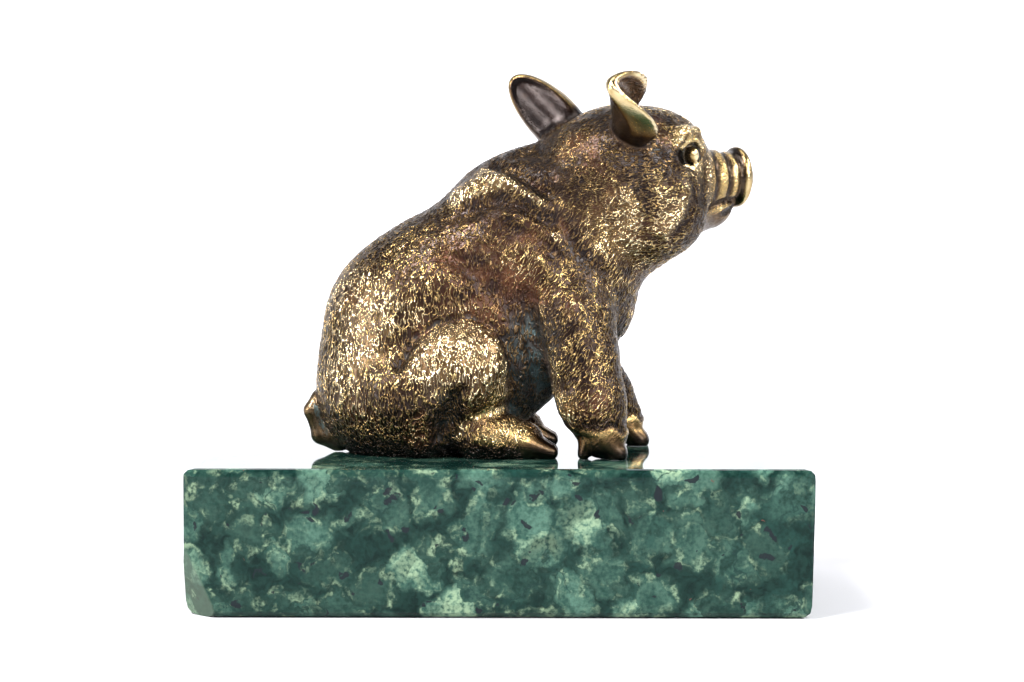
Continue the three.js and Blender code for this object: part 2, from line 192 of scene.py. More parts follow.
far_foreleg = join(
    4,
    limb((12, 8, 48), (18, 12, 34), 13, 11),
    limb((18, 12, 34), (22.2, 16, 24), 9.5, 7.2),
    limb((22.2, 16, 24), (27, 18, 14), 7.2, 6.7),
    limb((27, 18, 14), (31.6, 19, 7), 6.7, 6),
)


def hoof(x, y):
    """A cloven hoof with two dewclaws behind it."""
    return join(
        0.6,
        limb((x, y - 2.7, 4.6), (x + 3.2, y - 2.5, 1.6), 3.6, 3),
        limb((x, y + 2.7, 4.6), (x + 3.2, y + 2.5, 1.6), 3.6, 3),
        limb((x - 4.4, y - 2.4, 4.4), (x - 5.2, y - 2.6, 1.4), 2.2, 1.7),
        limb((x - 4.4, y + 2.4, 4.4), (x - 5.2, y + 2.6, 1.4), 2.2, 1.7),
    )


fore_hooves = join(0.5, hoof(26.4, -18.8), hoof(33, 19.2))
tail = join(
    1,
    limb((-43, 0, 3), (-47.5, -1, 4.5), 3.2, 2.6),
    limb((-47.5, -1, 4.5), (-50, -2, 11), 2.4, 2),
    limb((-50, -2, 11), (-48.5, -1, 14.6), 2, 1.7),
)

# The head, in its own axes: forward along the muzzle, then to its left, then up.
skull = join(
    5,
    mass((-1, 0, 1), (20, 17, 17.5)),
    mass((9.2, 0, 5.5), (12, 11.5, 11)),
    both_sides(mass((4, -6.5, -8.5), (15, 12, 13))),
    limb((14, 0, -1.5), (31, 0, -0.5), 9.2, 6.2),
    limb((8, 0, -10), (24.5, 0, -10), 8, 3.6),
    limb((20, 0, -9.6), (27, 0, -8.8), 4.2, 2.8),
)
muzzle_folds = join(
    0.6,
    puck((25, 0, -0.6), (1.5, 7.6, 7.6)),
    puck((28.9, 0, -0.5), (1.1, 7, 7)),
)
snout_disc = puck((32.2, 0, -0.5), (1.9, 7.6, 8.2))
mouth = both_sides(limb((30, -3, -8.4), (19, -9.5, -13), 0.7, 0.7))
nostril = both_sides(mass((34.4, -2.9, -0.2), (2.4, 1.6, 2.5)))
brow = both_sides(join(
    1,
    limb((6.4, -13.4, 8.6), (9.6, -12.2, 12), 1.4, 1.8),
    limb((9.6, -12.2, 12), (13.6, -10.4, 12), 1.8, 1.4),
    limb((13.6, -10.4, 12), (17, -8.6, 7.4), 1.4, 1),
))
eye_socket = both_sides(mass((10.8, -13.2, 6), (4.8, 2.6, 3.7), (0, 0, 30)))
eye_ball = both_sides(mass((12.2, -11.8, 6), (1.9, 2, 2.3)))
eye_lids = both_sides(join(
    0.4,
    limb((8.2, -13.2, 7.6), (10.2, -13.4, 9.8), 0.4, 0.7),
    limb((10.2, -13.4, 9.8), (12.8, -12.7, 10), 0.7, 0.7),
    limb((12.8, -12.7, 10), (15.8, -10.9, 7.8), 0.7, 0.5),
    limb((9.2, -13.4, 3.6), (11.8, -13.2, 2.8), 0.4, 0.6),
    limb((11.8, -13.2, 2.8), (15, -11.4, 4.2), 0.6, 0.4),
))


EAR_THICKNESS = 1.2
EAR_ROUNDING = 1.4
EAR_WIDEST = 0.4


def ear(root, tip, facing, half_width, trough):
    """A curled leaf from its root to its tip: the distance to a sheet bent across as a parabola,
    kept inside an ellipse whose middle is at the leaf's widest place. The second function gives
    the height above the sheet on the hollow side, the distance to the ellipse, and the way
    along the leaf."""
    root, along = np.array(root, float), np.subtract(tip, root).astype(float)
    length = np.linalg.norm(along)
    along /= length
    facing = np.array(facing, float) - along * np.dot(facing, along)
    facing /= np.linalg.norm(facing)
    across = np.cross(along, facing)
    reach = length * (1 - EAR_WIDEST)

    def leaf(x, y, z):
        d = np.stack([x, y, z], -1) - root
        s, t, n = d @ along, d @ across, d @ facing
        above = (n - trough * t * t) / np.hypot(1, 2 * trough * t)
        u, v = (s - length * EAR_WIDEST) / reach, t / half_width
        k = np.hypot(u, v)
        g = np.hypot(u / reach, v / half_width)
        edge = np.where(g > TINY, k * (k - 1) / np.maximum(g, TINY), -half_width)
        return above, edge, s

    def field(x, y, z):
        above, edge, _ = leaf(x, y, z)
        return soft_max(np.abs(above) - EAR_THICKNESS, edge, EAR_ROUNDING)
    return field, leaf


near_ear, near_leaf = ear((-9, -10, 12), (-20.5, -28, 25), (0.84, -0.48, 0.24), 7.6, 0.15)
far_ear, far_leaf = ear((-10.5, 10.5, 8), (-21, 28, 24.5), (0.4, 0.85, 0.1), 7, 0.08)
ears = join(0.5, near_ear, far_ear)
face = join(1, join(1.2, skull, brow), muzzle_folds, snout_disc)
face = carve(0.6, carve(0.8, carve(1, face, eye_socket), nostril), mouth)
head_own = join(0.6, join(0.8, join(2, face, ears), eye_ball), eye_lids)


def in_head(field):
    """A field of the head's own axes, as seen from the figure's axes: the place is taken from
    the head's middle, turned back about the upright and then rolled back about the muzzle."""
    turn_cos, turn_sin = math.cos(HEAD_TURN), math.sin(HEAD_TURN)
    roll_cos, roll_sin = math.cos(HEAD_ROLL), math.sin(HEAD_ROLL)

    def turned(x, y, z):
        dx, dy, dz = x - HEAD_AT[0], y - HEAD_AT[1], z - HEAD_AT[2]
        left = dy * turn_cos - dx * turn_sin
        return field(dx * turn_cos + dy * turn_sin, left * roll_cos + dz * roll_sin,
                     dz * roll_cos - left * roll_sin)
    return turned


head = in_head(head_own)
forelegs = join(0.1, near_foreleg, far_foreleg)


def piglet_form(x, y, z):
    """The whole figure: the trunk and head, the legs set against them, then feet and tail."""
    trunk = soft_min(torso(x, y, z), head(x, y, z), 6)
    legged = soft_min(soft_min(trunk, thigh(x, y, z), 2.2), forelegs(x, y, z), 3)
    footed = soft_min(legged, soft_min(hind_foot(x, y, z), hind_toes(x, y, z), 1), 1.4)
    small = np.minimum(fore_hooves(x, y, z), tail(x, y, z))
    return soft_min(footed, small, 1.2)


def seated(x, y, z):
    """The figure cut flat just above the stone."""
    return np.maximum(piglet_form(x, y, z), SEAT_GAP - z)


# The net's box, the length of a cell, the cells along a block, how many blocks away from the
# surface a block is still worked out in full, and how the points are settled on the surface.
SKIN_LOW = (-57, -36, -3)
SKIN_HIGH = (69, 36, 105)
SKIN_STEP = 0.64
SKIN_BLOCK = 4
BLOCK_MARGIN = 2
SETTLE_ROUNDS = 2
LEAST_SLOPE = 0.5
FINE_STEP = 0.03
BROAD_STEP = 0.3


def skin(field, low, high, step):
    """A net over a field: one point in each cell that the surface passes through, at the mean of
    where it crosses the cell's edges, and one four-sided face for each edge that it crosses.
    Blocks of cells that are far from the surface are filled with the value at their middle."""
    n = SKIN_BLOCK
    blocks = [math.ceil((h - l) / step / n) + 1 for l, h in zip(low, high)]
    size = [b * n for b in blocks]
    centre = [l + (np.arange(b) * n + (n - 1) / 2) * step for l, b in zip(low, blocks)]
    middle = field(*(c.ravel() for c in np.meshgrid(*centre, indexing="ij"))).reshape(blocks)
    value = middle.repeat(n, 0).repeat(n, 1).repeat(n, 2)
    near = np.argwhere(np.abs(middle) < n * step * BLOCK_MARGIN)
    inner = np.stack(np.meshgrid(*[np.arange(n)] * 3, indexing="ij"), -1).reshape(1, -1, 3)
    index = (near[:, None] * n + inner).reshape(-1, 3)
    value[tuple(index.T)] = field(*(np.array(low) + index * step).T)
    inside = value < 0
    cells, points, quads = [], [], []
    for d in range(3):
        e, f = (d + 1) % 3, (d + 2) % 3
        here = tuple(slice(1, -1) for _ in range(3))
        there = tuple(slice(2, None) if a == d else slice(1, -1) for a in range(3))
        cross = np.argwhere(inside[here] != inside[there]) + 1
        ahead = cross.copy()
        ahead[:, d] += 1
        a, b = value[tuple(cross.T)], value[tuple(ahead.T)]
        point = cross.astype(float)
        point[:, d] += a / (a - b)
        ring = []
        for de, df in ((-1, -1), (0, -1), (0, 0), (-1, 0)):
            cell = cross.copy()
            cell[:, e] += de
            cell[:, f] += df
            ring.append(np.ravel_multi_index(tuple(cell.T), size))
        ring = np.stack(ring, 1)
        cells.append(ring.ravel())
        points.append(point.repeat(4, 0))
        ring[a > 0] = ring[a > 0][:, ::-1]
        quads.append(ring)
    used, which = np.unique(np.concatenate(cells), return_inverse=True)
    points = np.concatenate(points)
    count = np.bincount(which)
    mean = np.stack([np.bincount(which, points[:, c]) / count for c in range(3)], 1)
    return np.array(low) + mean * step, np.searchsorted(used, np.concatenate(quads))


def slope(field, p, h):
    """The field's gradient at some points, from its value a little to either side."""
    axes = np.eye(3) * h
    return np.stack([(field(*(p + a).T) - field(*(p - a).T)) / (2 * h) for a in axes], 1)


def unit(v):
    """Vectors scaled to a length of one."""
    return v / np.maximum(np.linalg.norm(v, axis=1, keepdims=True), TINY)


def ramp(v, low, high):
    """A smooth step from nought at low to one at high."""
    t = np.clip((v - low) / (high - low), 0, 1)
    return t * t * (3 - 2 * t)


def bell(v, at, width):
    """A bell about a value: e to the power of minus the square of the distance over the width."""
    return np.exp(-((v - at) / width) ** 2)


points, quads = skin(seated, SKIN_LOW, SKIN_HIGH, SKIN_STEP)
for _ in range(SETTLE_ROUNDS):
    g = slope(seated, points, FINE_STEP)
    g2 = np.maximum((g * g).sum(1), LEAST_SLOPE ** 2)
    points -= (seated(*points.T) / g2)[:, None] * g
normals = unit(slope(seated, points, BROAD_STEP))

# Creases and folds that the modeller pressed into the wax on both flanks: each is a line in
# side view, with a half-width and a height that is negative where it sinks. The head's folds
# and lips are in its own axes.
FOLDS = (
    (((-26, 24), (-22, 31.5), (-15.6, 35.3), (-8, 36.6), (-2, 34.2), (2.5, 28.5), (3.2, 20)),
     1.5, -1.5),
    (((-20, 27), (-14.5, 31.2), (-8, 32.2), (-2.6, 29.6), (-0.4, 24)), 2.6, 1.0),
    (((-26, 31), (-16, 39.5), (-6, 40.5), (2, 37), (6, 30)), 3.6, -0.6),
    (((-10, 18), (-13, 12), (-15.5, 6)), 1.9, -1.5),
    (((10, 39), (12.8, 27), (14, 18), (18.5, 9)), 1.3, 0.7),
    (((6.5, 42), (8.6, 28), (9.5, 19)), 2.6, -1.2),
    (((-11, 67), (-6, 70), (0, 71)), 2.4, 1.3),
    (((-9, 63), (-2, 66), (5, 65), (12, 60)), 2.2, -1.2),
    (((-2, 75), (6, 72), (12, 68)), 1.5, -1.2),
    (((-4, 72.5), (4, 69.5), (10, 65.5)), 1.8, 0.8),
    (((3, 78.5), (9, 79), (14, 76.5)), 1.8, -1.3),
    (((2, 60), (9, 57), (14, 52)), 2.2, -0.8),
    (((1, 63), (8, 61), (14, 57)), 1.8, 0.6),
    (((-14, 52), (-6, 47), (0, 42)), 3.0, -0.9),
    (((16, 60), (20, 53), (26, 48)), 1.8, -0.9),
    (((-29, 35), (-28.5, 32.5)), 1.0, 0.8),
)
HEAD_FOLDS = (
    (((8.5, -2), (7.2, -5), (5.5, -9), (2, -13)), 1.5, 0.45),
    (((11, -2), (10, -5.5), (8.5, -9.5), (5, -13.5)), 1.6, -0.4),
    (((17, 1.5), (15.2, -2), (14.6, -6)), 1.8, -0.5),
    (((19.5, 4), (18.2, -1), (17.6, -6)), 1.3, 0.5),
    (((2, 13), (7, 15.5), (12, 15)), 1.6, -0.5),
    (((-2, 8), (3, 4), (6, 2)), 1.4, -0.5),
    (((-6, -2), (-3, -8), (-4, -14)), 2.2, -0.8),
    (((-9, -3), (-6.5, -9), (-8, -15)), 1.6, 0.5),
)
FAR_OFF = 1e9
LIPS = ((((31, -6.2), (25, -6.8), (20, -8.2), (16.5, -11)), 0.7, -0.9),)


def along_folds(p, folds, inner, outer):
    """How far each fold lifts or sinks each point: its height times a bell of the distance to
    its line in side view, growing from nought at one distance from the middle plane to all of
    it at another."""
    lift = np.zeros(len(p))
    flank = ramp(np.abs(p[:, 1]), inner, outer)
    for line, width, height in folds:
        nearest = np.full(len(p), FAR_OFF)
        for (x0, z0), (x1, z1) in zip(line, line[1:]):
            bx, bz = x1 - x0, z1 - z0
            t = np.clip(((p[:, 0] - x0) * bx + (p[:, 2] - z0) * bz) / (bx * bx + bz * bz), 0, 1)
            away = np.hypot(p[:, 0] - x0 - bx * t, p[:, 2] - z0 - bz * t)
            nearest = np.minimum(nearest, away)
        lift += height * bell(nearest, 0, width) * flank
    return lift


# How far each point of the skin is from each form, and where it is in the head's own axes.
apart = {
    "ear": ears, "near_ear": near_ear, "far_ear": far_ear, "disc": snout_disc,
    "folds": muzzle_folds, "eye": eye_ball, "lids": eye_lids, "socket": eye_socket,
    "skull": skull, "brow": brow, "mouth": mouth, "nostril": nostril,
}
apart = {name: in_head(field)(*points.T) for name, field in apart.items()}
apart["hoof"] = np.minimum(fore_hooves(*points.T), hind_toes(*points.T))
apart["tail"] = tail(*points.T)
apart["foot"] = hind_foot(*points.T)
head_place = in_head(lambda x, y, z: np.stack([x, y, z], -1))(*points.T)
forward, below = head_place[:, 0], -head_place[:, 2]


def close_to(form, far, near):
    """A smooth step from nought at one distance from a form to one at a nearer distance."""
    return ramp(apart[form], far, near)


# Where the wax was left smooth: the ears, snout disc, eyes, toes and tail wholly, and the lids,
# jaw, muzzle, brow and hind feet in part.
in_front = close_to("skull", 6, 1) * ramp(forward, 15, 19)
jaw = in_front * ramp(below, 8.5, 10.5) * ramp(forward, 13, 17)
smooth = np.maximum.reduce([
    0.8 * close_to("lids", 1.4, 0.3), 0.9 * jaw, 0.85 * in_front * ramp(forward, 19, 22),
    close_to("ear", 1.6, 0.2), close_to("disc", 2.0, 0.3), close_to("eye", 1.6, 0.2),
    close_to("hoof", 0.8, 0.1), close_to("tail", 1.0, 0.2),
    0.7 * close_to("folds", 2.0, 0.4), 0.5 * close_to("brow", 1.0, 0.2),
    0.6 * close_to("foot", 1.2, 0.3) * ramp(points[:, 0], -12, -2),
])
leaves = [in_head(leaf)(*points.T) for leaf in (near_leaf, far_leaf)]
nearer = apart["near_ear"] < apart["far_ear"]
above, outline, along = (np.where(nearer, a, b) for a, b in zip(*leaves))
on_ear = close_to("ear", 1.2, 0.2)
on_head = close_to("skull", 6, 2)

# What is pressed into the skin and raised from it: the folds, a thick rim and a groove round
# each ear, the lips, the grooves round the muzzle, and the coronets over the fore hooves.
EAR_RIM_LIFT = 0.55
EAR_GROOVE_LIFT = 0.4
MUZZLE_GROOVES = (22.6, 27.0, 30.6)
MUZZLE_GROOVE_WIDTH = 0.6
MUZZLE_GROOVE_DEPTH = 0.35
CORONETS = ((26.4, -18.8, 8.2), (33, 19.2, 8.2))
CORONET_LIFT = 0.3
CORONET_GROOVE_DEPTH = 0.35
CORONET_WAVE = 0.8
pressed = along_folds(points, FOLDS, 3, 8) * (1 - np.maximum(smooth, on_head))
on_head = on_head * (1 - on_ear)
pressed += along_folds(head_place, HEAD_FOLDS, 3, 8) * on_head * ramp(apart["brow"], 0.3, 1.5)
pressed += EAR_RIM_LIFT * bell(outline, -1.5, 0.9) * on_ear * ramp(along, 5, 11)
pressed += EAR_GROOVE_LIFT * bell(outline, -4.2, 0.7) * on_ear * ramp(above, 0, 0.8)
lips = along_folds(head_place, LIPS, 0.5, 2) * (1 - on_ear) * ramp(apart["disc"], 0.2, 1)
pressed += lips
grooves = sum(bell(forward, at, MUZZLE_GROOVE_WIDTH) for at in MUZZLE_GROOVES)
grooves = grooves * in_front * ramp(below, 8, 6.5)
pressed -= MUZZLE_GROOVE_DEPTH * grooves
for x, y, z in CORONETS:
    at_leg = ramp(np.hypot(points[:, 0] - x, points[:, 1] - y), 12, 9)
    rise = points[:, 2] - z - 0.12 * (x - points[:, 0])
    rise += CORONET_WAVE * np.sin(points[:, 1] * 0.9 + points[:, 0] * 0.5)
    pressed += at_leg * CORONET_LIFT * bell(rise, -1.1, 0.9)
    pressed -= at_leg * CORONET_GROOVE_DEPTH * bell(rise, 0.6, 0.8)
    smooth = np.maximum(smooth, at_leg * ramp(rise, 0.6, -0.6) * 0.9)
points += normals * pressed[:, None]

# What the skin carries for its finish: how hollow and how proud each place is, how smooth it
# was left, where it is rubbed or lightened with painted light, where it is darkened with painted
# shade, where it is green or red, and which way its coat runs: down the rump, along the
# shoulder or back over the head.
HOLLOW_REACHES = (1.5, 4, 9)
PROUD_NEAR = 1.6
PROUD_FAR = 5
hollow = np.zeros(len(points))
for reach in HOLLOW_REACHES:
    open_air = seated(*(points + normals * reach).T) / reach
    hollow += np.clip(1 - open_air, 0, 1) / len(HOLLOW_REACHES)
to_head = close_to("skull", 9, 0)
rim = ramp(outline, -2.4, -1.0) * ramp(along, 4, 10)
proud = np.clip(1 + seated(*(points - normals * PROUD_NEAR).T) / PROUD_NEAR, 0, 1)
broad = np.clip(1 + seated(*(points - normals * PROUD_FAR).T) / PROUD_FAR, 0, 1)
proud += broad * (1 - on_ear) * 0.5
proud = proud * (1 - on_ear) + rim * on_ear * np.where(nearer, 1, 0.7)
belly_pocket = np.exp(-(((points - (8, 0, 24)) / (6.5, 30, 13)) ** 4).sum(1))
thigh_pocket = np.exp(-(((points - (-15, 0, 12)) / (4, 30, 8)) ** 2).sum(1))
pocket = belly_pocket + thigh_pocket

# Where hands and cloths have rubbed it, and, on the rump, back, thigh, legs and feet, a
# lighter tone that is painted light: middles, reaches and how much.
WEAR_AND_LIGHT_SPOTS = (
    ((-9, -24, 30), 11, 1.0), ((-9, 24, 30), 11, 1.0),
    ((-7, -17, 69), 6, 0.7), ((-7, 17, 69), 6, 0.7),
    ((44, -2, 86), 8, 0.65), ((38, -14, 62), 9, 0.5),
    ((-38, -14, 22), 10, 0.4), ((8, -20, 48), 9, 0.1), ((28, -14, 54), 9, 0.4),
    ((2, -22, 22), 6, 0.5), ((2, 22, 22), 6, 0.5),
    ((-34, -14, 44), 15, 0.6), ((-34, 14, 44), 15, 0.55),
    ((-18, -14, 58), 12, 0.3), ((-18, 14, 58), 12, 0.3),
    ((2, -20, 8), 9, 0.7), ((2, 20, 8), 9, 0.7),
    ((22, -18, 22), 12, 0.1), ((24, 18, 20), 12, 0.1),
    ((-38, -10, 32), 14, 0.4), ((-38, 10, 32), 14, 0.3),
    ((46, 5, 74), 8, 0.5), ((54, 8, 71), 10, 0.65),
    ((-16, -20, 26), 11, 0.5), ((-16, 20, 26), 11, 0.5),
)
BACK_DARKNESS = 0.35
up_the_back = points[:, 2] - 0.75 * points[:, 0]
wear_and_painted_light = -BACK_DARKNESS * ramp(up_the_back, 52, 70) * (1 - to_head)
for at, reach, much in WEAR_AND_LIGHT_SPOTS:
    wear_and_painted_light += much * np.exp(-((points - at) ** 2).sum(1) / reach ** 2)
wear_and_painted_light -= 0.7 * on_ear * (1 - rim) + 0.3 * close_to("hoof", 0.8, 0.1) + 0.7 * pocket
wear_and_painted_light -= 0.9 * close_to("tail", 1.0, 0.2)
# The eye socket's recess round the ball and under the lids, which is given painted shade.
round_eye = close_to("socket", 0.9, 0.1) * ramp(apart["eye"], 0.05, 0.5)
round_eye = round_eye * ramp(apart["lids"], 0.1, 0.5)

# The coat turns from upright to slanting along a wavering line behind the shoulder, and a patch
# on the flank is red-brown.
wander = 3 * np.sin(points[:, 2] * 0.21 + points[:, 1] * 0.13)
to_shoulder = ramp(points[:, 0] * 0.8 + points[:, 2] * 0.35 + wander, 12, 26)
FLANK_MIDDLE = (-3, 46)
FLANK_REACH = 12
from_flank = np.hypot(points[:, 0] - FLANK_MIDDLE[0], points[:, 2] - FLANK_MIDDLE[1])
WEIGHTS = {
    "coat_down": (1 - to_shoulder) * (1 - to_head),
    "coat_slant": to_shoulder * (1 - to_head),
    "coat_back": to_head,
    "smooth": smooth,
    "hollow": hollow,
    "proud": proud,
    "wear_and_painted_light": wear_and_painted_light,
    "inside": on_ear * ramp(above, 0.2, 1.0) * (1 - rim),
    # Painted shade: darker towards the bottom where the underside turns in to the stone, in the
    # muzzle grooves and the lip crease, under the jaw, in the eye socket, the mouth and the
    # nostrils.
    "painted_shade": np.maximum.reduce([
        ramp(points[:, 2], 4.8, 1.5), grooves, -lips, 0.3 * jaw, round_eye,
        close_to("mouth", 0.7, 0.1), close_to("nostril", 0.6, 0),
    ]),
    "green": np.maximum(0.4 * close_to("tail", 1.0, 0.2), 0.9 * pocket),
    "cleaner": 0.7 * to_head,
    "ruddy": bell(from_flank, 0, FLANK_REACH),
    # Darker on the ears' bare patina, and darker still on the far ear as painted shade; lighter
    # on the eyeball.
    "dark": (0.16 + 0.26 * ~nearer) * on_ear * (1 - rim) - 0.16 * close_to("eye", 0.3, 0),
    "bare": np.maximum(on_ear, close_to("disc", 2.0, 0.3)),
}


def mesh_object(name, points, faces):
    """An object with a mesh of points and equal-sided faces, filled in one go."""
    mesh = bpy.data.meshes.new(name)
    mesh.vertices.add(len(points))
    mesh.vertices.foreach_set("co", points.astype(np.float32).ravel())
    mesh.loops.add(faces.size)
    mesh.loops.foreach_set("vertex_index", faces.astype(np.int32).ravel())
    mesh.polygons.add(len(faces))
    starts = np.arange(0, faces.size, faces.shape[1], dtype=np.int32)
    mesh.polygons.foreach_set("loop_start", starts)
    mesh.update(calc_edges=True)
    mesh.validate()
    mesh.polygons.foreach_set("use_smooth", np.ones(len(mesh.polygons), bool))
    obj = bpy.data.objects.new(name, mesh)
    scene.collection.objects.link(obj)
    return obj


MILLIMETRES = 1000
placed = points * PART + np.array([0, 0, BLOCK_TOP])
piglet = mesh_object("piglet_bronze", placed, quads)
for name, weight in WEIGHTS.items():
    attribute = piglet.data.attributes.new(name, "FLOAT", "POINT")
    attribute.data.foreach_set("value", weight.astype(np.float32))
rest = piglet.data.attributes.new("rest", "FLOAT_VECTOR", "POINT")
rest.data.foreach_set("vector", (placed * MILLIMETRES).astype(np.float32).ravel())
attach(piglet, "root")
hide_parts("piglet")

# The coat's strokes: long pits between thin proud ridges, as a hooked tool leaves them. One net
# of nodes gives their height, and serves both the mesh and the bronze. Each lie of the coat has
# its turn in degrees; widths and lengths are in millimetres.
STROKES = (("coat_down", (4, 0, 0)), ("coat_slant", (0, 32, 0)), ("coat_back", (0, 80, 27)))
STROKE_WIDTH = 0.47
STROKE_LENGTH = 1.75
STROKE_FINER = {"coat_slant": 1.1, "coat_back": 1.3}
STROKE_STIR = 0.55
RIDGE_FOOT = 0.11
RIDGE_TOP = 0.015
FAINTEST = 0.55


def wire(tree, kind, inputs=None, **settings):
    """A node with its settings, and its inputs set to values or joined to other sockets."""
    node = tree.nodes.new(kind)
    for key, value in settings.items():
        setattr(node, key, value)
    for key, value in (inputs or {}).items():
        if isinstance(value, bpy.types.NodeSocket):
            tree.links.new(value, node.inputs[key])
        else:
            node.inputs[key].default_value = value
    return node


def calc(tree, operation, *values):
    """The result of one sum on numbers or sockets."""
    return wire(tree, "ShaderNodeMath", dict(enumerate(values)), operation=operation).outputs[0]


def step_between(tree, value, low, high, to_low=0.0, to_high=1.0):
    """A smooth change from one number to another as a value goes from low to high."""
    node = wire(tree, "ShaderNodeMapRange", interpolation_type="SMOOTHSTEP")
    for key, given in enumerate((value, low, high, to_low, to_high)):
        if isinstance(given, bpy.types.NodeSocket):
            tree.links.new(given, node.inputs[key])
        else:
            node.inputs[key].default_value = given
    return node.outputs[0]


def stroke_height(tree, place, weights):
    """The coat's height from nought in a pit to one on a ridge, at a place in millimetres. The
    ridges follow the places where a stretched noise crosses its middle value, so they join up
    round long pits."""
    stir = wire(tree, "ShaderNodeTexNoise", {"Vector": place, "Scale": 1.1, "Detail": 2.0})
    stir = wire(tree, "ShaderNodeVectorMath", {0: stir.outputs["Color"], 1: (0.5, 0.5, 0.5)},
                operation="SUBTRACT")
    stir = wire(tree, "ShaderNodeVectorMath", {0: stir.outputs[0], "Scale": STROKE_STIR},
                operation="SCALE")
    stirred = wire(tree, "ShaderNodeVectorMath", {0: place, 1: stir.outputs[0]}, operation="ADD")
    total = None
    for name, turn in STROKES:
        turned = wire(tree, "ShaderNodeVectorRotate", {
            "Vector": stirred.outputs[0], "Rotation": [math.radians(a) for a in turn],
        }, rotation_type="EULER_XYZ", invert=True)
        finer = STROKE_FINER.get(name, 1)
        cell = wire(tree, "ShaderNodeVectorMath", {
            0: turned.outputs[0],
            1: [finer / w for w in (STROKE_WIDTH, STROKE_WIDTH, STROKE_LENGTH)],
        }, operation="MULTIPLY")
        worms = wire(tree, "ShaderNodeTexNoise", {
            "Vector": cell.outputs[0], "Scale": 1.0, "Detail": 1.0, "Roughness": 0.35,
        })
        away = calc(tree, "ABSOLUTE", calc(tree, "SUBTRACT", worms.outputs[0], 0.5))
        ridge = step_between(tree, away, RIDGE_FOOT, RIDGE_TOP)
        ridge = calc(tree, "MULTIPLY", ridge, weights[name])
        total = ridge if total is None else calc(tree, "ADD", total, ridge)
    patchy = wire(tree, "ShaderNodeTexNoise", {"Vector": place, "Scale": 0.55, "Detail": 2.0})
    patchy = step_between(tree, patchy.outputs[0], 0.3, 0.62, FAINTEST, 1.0)
    return calc(tree, "MULTIPLY", total, patchy)


# The strokes and some slow lumps move the skin itself in or out, by less than 0.15 mm.
STROKE_LIFT = 0.00017
SURFACE_LUMPS = 0.00010
relief = bpy.data.node_groups.new("coat_relief", "GeometryNodeTree")
relief.interface.new_socket("Geometry", in_out="INPUT", socket_type="NodeSocketGeometry")
relief.interface.new_socket("Geometry", in_out="OUTPUT", socket_type="NodeSocketGeometry")
taken = wire(relief, "NodeGroupInput")
given = wire(relief, "NodeGroupOutput")
read = {}
for name in ("coat_down", "coat_slant", "coat_back", "smooth"):
    attribute = wire(relief, "GeometryNodeInputNamedAttribute", data_type="FLOAT")
    attribute.inputs["Name"].default_value = name
    read[name] = attribute.outputs["Attribute"]
rest_node = wire(relief, "GeometryNodeInputNamedAttribute", data_type="FLOAT_VECTOR")
rest_node.inputs["Name"].default_value = "rest"
rest_place = rest_node.outputs["Attribute"]
stroke = stroke_height(relief, rest_place, read)
stroke = calc(relief, "MULTIPLY", stroke, calc(relief, "SUBTRACT", 1.0, read["smooth"]))
lumps = wire(relief, "ShaderNodeTexNoise", {"Vector": rest_place, "Scale": 0.35, "Detail": 2.0})
lumps = calc(relief, "SUBTRACT", lumps.outputs[0], 0.5)
lift = calc(relief, "ADD", calc(relief, "MULTIPLY", stroke, STROKE_LIFT),
            calc(relief, "MULTIPLY", lumps, SURFACE_LUMPS))
lift = calc(relief, "SUBTRACT", lift, STROKE_LIFT / 2)
outward = wire(relief, "GeometryNodeInputNormal")
offset = wire(relief, "ShaderNodeVectorMath", {0: outward.outputs[0], "Scale": lift},
              operation="SCALE")
moved = wire(relief, "GeometryNodeSetPosition", {
    "Geometry": taken.outputs[0], "Offset": offset.outputs[0],
})
relief.links.new(moved.outputs[0], given.inputs[0])
tooling = piglet.modifiers.new("tooling", "NODES")
tooling.node_group = relief

# Bronze: a dark brown patina in the pits, rubbed back to gold on the ridges and on what stands
# proud, polished and warm where it was left smooth, with verdigris in the hollows. Painted light
# lightens the rump, back, thigh, legs and feet, and painted shade darkens the bottom, the
# creases, the jaw and the eye sockets.
bronze = bpy.data.materials.new("bronze")
bronze.use_nodes = True
tree = bronze.node_tree
tree.nodes.clear()
out = wire(tree, "ShaderNodeOutputMaterial")
metal = wire(tree, "ShaderNodeBsdfPrincipled", {"Coat Weight": 0.25, "Coat Roughness": 0.08})
tree.links.new(metal.outputs[0], out.inputs[0])


def skin_value(name):
    """A number that the skin carries."""
    return wire(tree, "ShaderNodeAttribute", attribute_name=name).outputs["Fac"]


def mix(amount, first, second):
    """One colour turning into another."""
    node = wire(tree, "ShaderNodeMix", {"Factor": amount}, data_type="RGBA")
    for socket, value in ((node.inputs[6], first), (node.inputs[7], second)):
        if isinstance(value, bpy.types.NodeSocket):
            tree.links.new(value, socket)
        else:
            socket.default_value = (*value, 1)
    return node.outputs[2]


place = wire(tree, "ShaderNodeAttribute", attribute_name="rest").outputs["Vector"]
weights = {name: skin_value(name) for name, _ in STROKES}
smoothness = skin_value("smooth")
furry = calc(tree, "SUBTRACT", 1.0, smoothness)
stroke = stroke_height(tree, place, weights)


def noise_of(scale, detail):
    """A noise with so many lumps to the millimetre."""
    return wire(tree, "ShaderNodeTexNoise", {
        "Vector": place, "Scale": scale, "Detail": detail,
    }).outputs[0]


